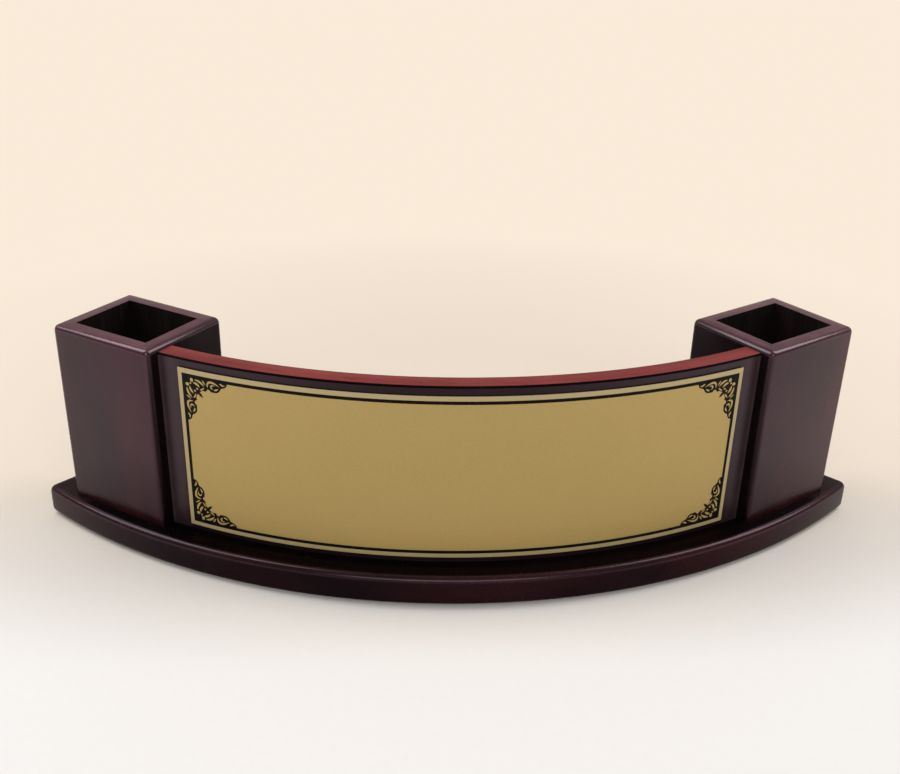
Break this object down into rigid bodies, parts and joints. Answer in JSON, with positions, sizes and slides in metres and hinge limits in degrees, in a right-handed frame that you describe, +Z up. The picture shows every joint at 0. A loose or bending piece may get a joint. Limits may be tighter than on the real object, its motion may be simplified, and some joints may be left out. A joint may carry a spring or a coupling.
{
  "type": "desk name plate",
  "caption": "Curved desk name plate in dark lacquered wood: an arc-shaped base carries an upright panel with a bare gold-coloured sheet, and a rectangular pen cup at each end.",
  "frame": {"origin": "on the desk surface, under the middle of the base's outline", "axes": "+Z up, +X along the plate's length, the plate's front faces -Y"},
  "size_m": [0.4222, 0.1308, 0.11],
  "materials": {
    "lacquered_wood": "dark mahogany stain under gloss lacquer",
    "red_edge_wood": "red mahogany under gloss lacquer",
    "dowel_wood": "plain beech",
    "screw_steel": "zinc plated",
    "gold_sheet": "satin gold",
    "mounting_film": "adhesive film",
    "felt": "pressed felt"
  },
  "bodies": {
    "root": {"base_board": "lacquered_wood", "name_panel": "lacquered_wood", "left_cup_front": "lacquered_wood", "left_cup_back": "lacquered_wood", "left_cup_inner_side": "lacquered_wood", "left_cup_outer_side": "lacquered_wood", "left_cup_floor": "lacquered_wood", "right_cup_front": "lacquered_wood", "right_cup_back": "lacquered_wood", "right_cup_inner_side": "lacquered_wood", "right_cup_outer_side": "lacquered_wood", "right_cup_floor": "lacquered_wood", "panel_edge_band": "red_edge_wood", "panel_dowels": "dowel_wood", "panel_screws": "screw_steel", "left_cup_screws": "screw_steel", "right_cup_screws": "screw_steel", "name_plate": "gold_sheet", "plate_adhesive": "mounting_film", "base_felt": "felt"}
  },
  "joints": []
}
